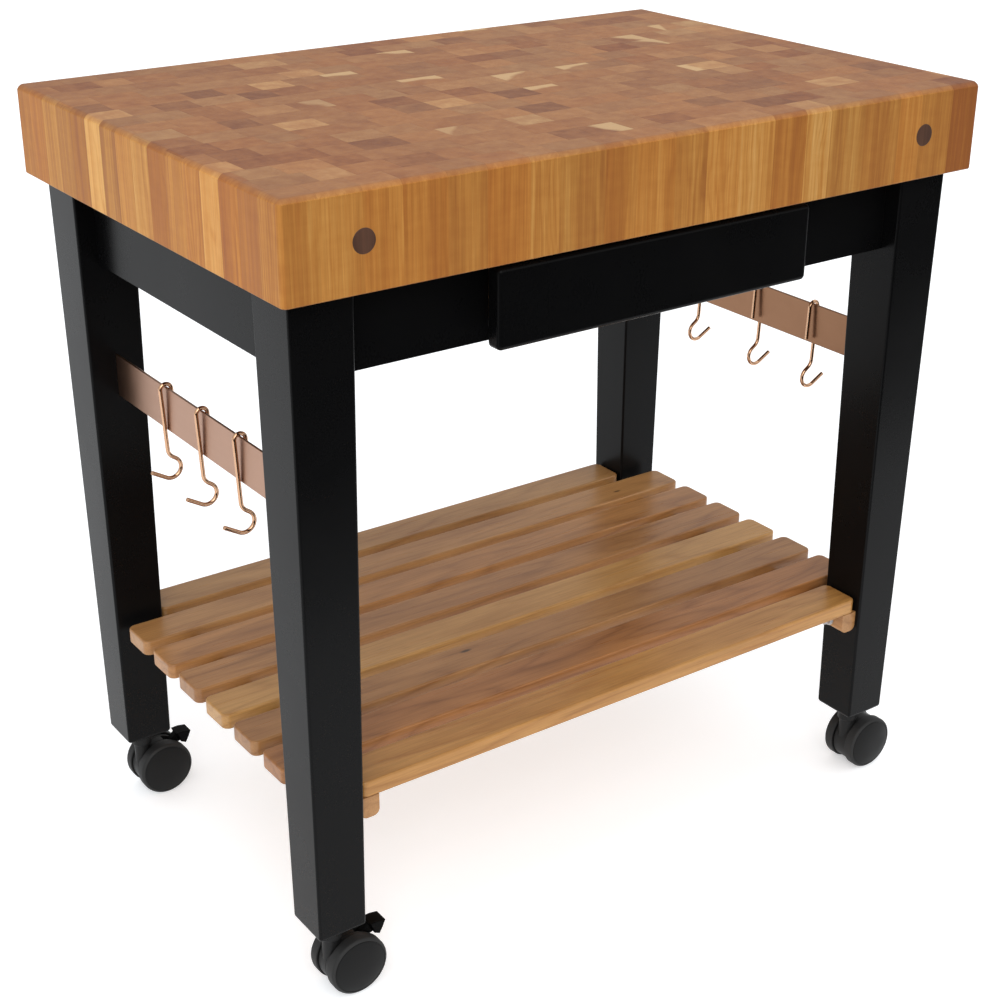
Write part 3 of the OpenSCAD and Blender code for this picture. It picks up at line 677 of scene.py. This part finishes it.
def hood_outline(slotted):
    """Side view of the hood, a drum cut off below. Slotted, it has a notch for the brake pedal's arm."""
    start = math.degrees(math.asin((HOOD_FLOOR - WHEEL_R) / HOOD_R))
    centre = (TRAIL, WHEEL_R)
    if not slotted:
        return arc(centre, HOOD_R, start, 180 - start, 48)
    low = math.degrees(math.asin((SLOT_Z - WHEEL_R) / HOOD_R))
    high = math.degrees(math.acos((SLOT_X - TRAIL) / HOOD_R))
    return [*arc(centre, HOOD_R, start, low, 12), (SLOT_X, SLOT_Z),
            *arc(centre, HOOD_R, high, 180 - start, 32)]


def hood_mesh(braked):
    bm = bmesh.new()
    full = hood_outline(False)
    if braked:
        extrude_outline(bm, full, -HOOD_HALF, -SLOT_HALF, 1.0 * MM)
        extrude_outline(bm, full, SLOT_HALF, HOOD_HALF, 1.0 * MM)
        extrude_outline(bm, hood_outline(True), -SLOT_HALF, SLOT_HALF, 0.1 * MM)
    else:
        extrude_outline(bm, full, -HOOD_HALF, HOOD_HALF, 1.4 * MM)
    boss = in_mm((0, 45), (10.4, 45), (10.4, 70.5), (11, 72.4), (12.6, 73.2),
                 (13, 74), (13, 88.5), (12.4, 89.6), (11, 90), (0, 90))
    add_to(bm, lathe(boss, 48))
    return bm


def lever_mesh():
    """Brake pedal: hub and arm in the hood's slot, and the wide toe pad outside the wheels."""
    bm = bmesh.new()
    hub = arc(PIVOT, HUB_R, 165, 345, 16)
    arm = in_mm((52, 58.5), (54, 66), (46.5, 71), (33, 60.5))
    extrude_outline(bm, [*hub, *arm], -ARM_HALF, ARM_HALF, 0.6 * MM)
    pad = in_mm((46, 73), (56, 73.4), (66, 71.5), (62.4, 63.2), (58, 55.5), (51.5, 59))
    extrude_outline(bm, pad, -PAD_HALF, PAD_HALF, 1.3 * MM)
    return bm


def make_wheels(corner, axle, plastics):
    for end, turn in (("front", 90), ("back", -90)):
        bm = wheel_mesh()
        bm.transform(Matrix.Translation(axle) @ Matrix.Rotation(math.radians(turn), 4, "X"))
        node = f"caster_{corner}_wheel_{end}"
        add_piece(f"wheel_{corner}_{end}_tyre", bm, f"wheel_{corner}_{end}",
                  plastics, [node], 42.0)


def make_casters(hood_plastic, wheel_plastics, lever_plastic, metal):
    for corner in CORNERS:
        wheel_lo, wheel_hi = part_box(f"caster_{corner}_wheel_front")
        hood_lo, hood_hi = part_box(f"caster_{corner}_hood")
        wheel_middle, hood_middle = (wheel_lo + wheel_hi) / 2, (hood_lo + hood_hi) / 2
        axle = Vector((wheel_middle.x, hood_middle.y, wheel_middle.z))
        stem = Matrix.Translation((axle.x - TRAIL, axle.y, 0.0))
        lever = f"brake_lever_{corner}"
        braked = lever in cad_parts
        bm = hood_mesh(braked)
        bm.transform(stem)
        add_piece(f"hood_{corner}", bm, f"caster_{corner}", [hood_plastic],
                  [f"caster_{corner}_hood"], 40.0)
        make_wheels(corner, axle, wheel_plastics)
        if braked:
            bm = lever_mesh()
            bm.transform(stem)
            add_piece(f"pedal_{corner}", bm, f"brake_{corner}",
                      [lever_plastic], [lever], 40.0)
        soften(f"caster_{corner}_stem_axle", metal, 0)


# ---------------------------------------------------------------- studio and camera


def make_world():
    """A soft white dome, brighter on the left. Below the horizon it gives little light, but is seen white."""
    world = bpy.data.worlds.new("studio")
    bpy.context.scene.world = world
    g = Graph(world, "Background")
    direction = g.node("TexCoord").outputs["Generated"]
    toward = g.node("VectorMath", {0: direction, 1: DOME_TOWARD.normalized()}, operation="DOT_PRODUCT")
    dome = g.remap(toward.outputs["Value"], DOME_FROM, DOME_TO, DOME_DARK, DOME_BRIGHT)
    above = g.remap(g.split(direction)["Z"], HORIZON_FROM, HORIZON_TO)
    lit = g.node("Mix", {0: above, 2: BELOW_HORIZON, 3: dome}, data_type="FLOAT").outputs[0]
    camera_ray = g.node("LightPath").outputs["Is Camera Ray"]
    seen = g.node("Mix", {0: camera_ray, 2: lit, 3: 1.0}, data_type="FLOAT").outputs[0]
    g.surface(Color=(1.0, 1.0, 1.0, 1.0), Strength=seen)


def make_floor():
    """Pale floor that ends in front of the table, so the black fronts reflect the dark below the horizon."""
    mesh = bpy.data.meshes.new("floor")
    bm = bmesh.new()
    bmesh.ops.create_grid(bm, x_segments=1, y_segments=1, size=1.0)
    for v in bm.verts:
        v.co.x *= FLOOR_HALF_WIDTH
        v.co.y = FLOOR_FRONT if v.co.y < 0.0 else FLOOR_BACK
    bm.to_mesh(mesh)
    bm.free()
    floor = bpy.data.objects.new("floor", mesh)
    bpy.context.scene.collection.objects.link(floor)
    g = material_graph("pale_floor")
    fleck = g.noise(g.position(), 40.0, 3.0)
    mesh.materials.append(g.surface(
        Base_Color=g.mix(fleck, (0.832, 0.855, 0.88, 1.0), (0.852, 0.875, 0.9, 1.0)), Roughness=0.9,
        Specular_IOR_Level=0.1, Emission_Color=(1.0, 1.0, 1.0, 1.0), Emission_Strength=FLOOR_GLOW))


def make_key_lamp():
    """One large soft lamp, up in front and to the left."""
    lamp = bpy.data.lights.new("key", "AREA")
    lamp.shape = "RECTANGLE"
    lamp.size = lamp.size_y = KEY_SIDE
    lamp.energy = KEY_POWER
    obj = bpy.data.objects.new("key", lamp)
    obj.location = KEY_PLACE
    obj.rotation_mode = "QUATERNION"
    obj.rotation_quaternion = (KEY_TARGET - KEY_PLACE).to_track_quat("-Z", "Y")
    bpy.context.scene.collection.objects.link(obj)


def make_camera():
    """Camera at the photograph's viewing angle: 35 degrees left of the front, looking down."""
    yaw, pitch, roll = (math.radians(a) for a in (CAMERA_YAW, CAMERA_PITCH, CAMERA_ROLL))
    forward = Vector((math.sin(yaw) * math.cos(pitch), math.cos(yaw) * math.cos(pitch), -math.sin(pitch)))
    right = Vector((math.cos(yaw), -math.sin(yaw), 0.0))
    down = forward.cross(right)
    tilted = right * math.cos(roll) + down * math.sin(roll)
    up = tilted.cross(forward)
    data = bpy.data.cameras.new("camera")
    data.sensor_width = CAMERA_SENSOR_MM
    data.lens = CAMERA_LENS_MM
    camera = bpy.data.objects.new("camera", data)
    turn = Matrix((tilted, up, -forward)).transposed().to_4x4()
    camera.matrix_world = Matrix.Translation(CAMERA_PLACE) @ turn
    bpy.context.scene.collection.objects.link(camera)
    bpy.context.scene.camera = camera


# ---------------------------------------------------------------- the whole scene


def make_materials():
    m = {
        "block": end_grain_cherry(),
        "plug": long_grain("walnut", 4.2, srgb(92, 62, 46), srgb(58, 36, 27), 0.4, axis=2),
        "inner": long_grain("maple", 6.1, srgb(214, 178, 132), srgb(188, 146, 100), 0.5, axis=1),
        "cleat": long_grain("cherry_cleat", 2.4, srgb(174, 128, 80), srgb(138, 94, 54), 0.36, axis=1),
        "paint": black_paint("satin_black_leg", 0.1),
        "board_paint": black_paint("satin_black_board", 0.07),
        # The right bar is the same copper as the left; its darker tints are painted shade, standing in for
        # the dim reflections it shows
        "bars": {"left": copper("copper_bright", (0.35, 0.2, 0.134), (0.4, 0.232, 0.158), True),
                 "right": copper("copper_painted_shade", (0.238, 0.125, 0.07), (0.29, 0.155, 0.09), True)},
        "hook": copper("copper_wire", (0.57, 0.335, 0.2), (0.65, 0.395, 0.25), False),
        "steel": steel(),
        "hood": plastic("hood_plastic", (0.008, 0.008, 0.008), (0.013, 0.013, 0.013), 0.45),
        "cover": plastic("wheel_cover", (0.0045, 0.0045, 0.0045), (0.009, 0.009, 0.009), 0.46, 0.14),
        "tread": plastic("wheel_tread", (0.017, 0.017, 0.017), (0.026, 0.026, 0.026), 0.55),
        "pedal": plastic("pedal_plastic", (0.0014, 0.0013, 0.0013), (0.0024, 0.0022, 0.0022), 0.5, 0.05),
    }
    m["slats"] = [
        long_grain(f"cherry_slat_{number}", 1.0 + (number - 1) * 1.37, srgb(*light), srgb(*dark), 0.3,
                   knots=SLAT_KNOTS.get(number, ()))
        for number, (light, dark) in enumerate(SLAT_TONES, 1)]
    return m


def make_table():
    m = make_materials()
    make_block(m["block"], m["plug"])
    for corner in CORNERS:
        make_leg(f"leg_{corner}", m["paint"])
    for side in ("front", "back", "left", "right"):
        soften(f"apron_{side}", m["board_paint"], APRON_EASE)
    make_drawer_front(m["board_paint"])
    for node in INNER_NODES:
        soften(node, m["inner"], INNER_EASE)
    make_slats(m["slats"])
    for side in ("left", "right"):
        soften(f"cleat_{side}", m["cleat"], CLEAT_EASE)
    make_bars(m["bars"])
    make_hooks(m["hook"])
    make_casters(m["hood"], [m["tread"], m["cover"]], m["pedal"], m["steel"])
    for node in STEEL_NODES:
        soften(node, m["steel"], 0)


make_table()
make_world()
make_floor()
make_key_lamp()
make_camera()
bpy.context.scene.view_settings.view_transform = "Standard"

bpy.context.view_layer.update()
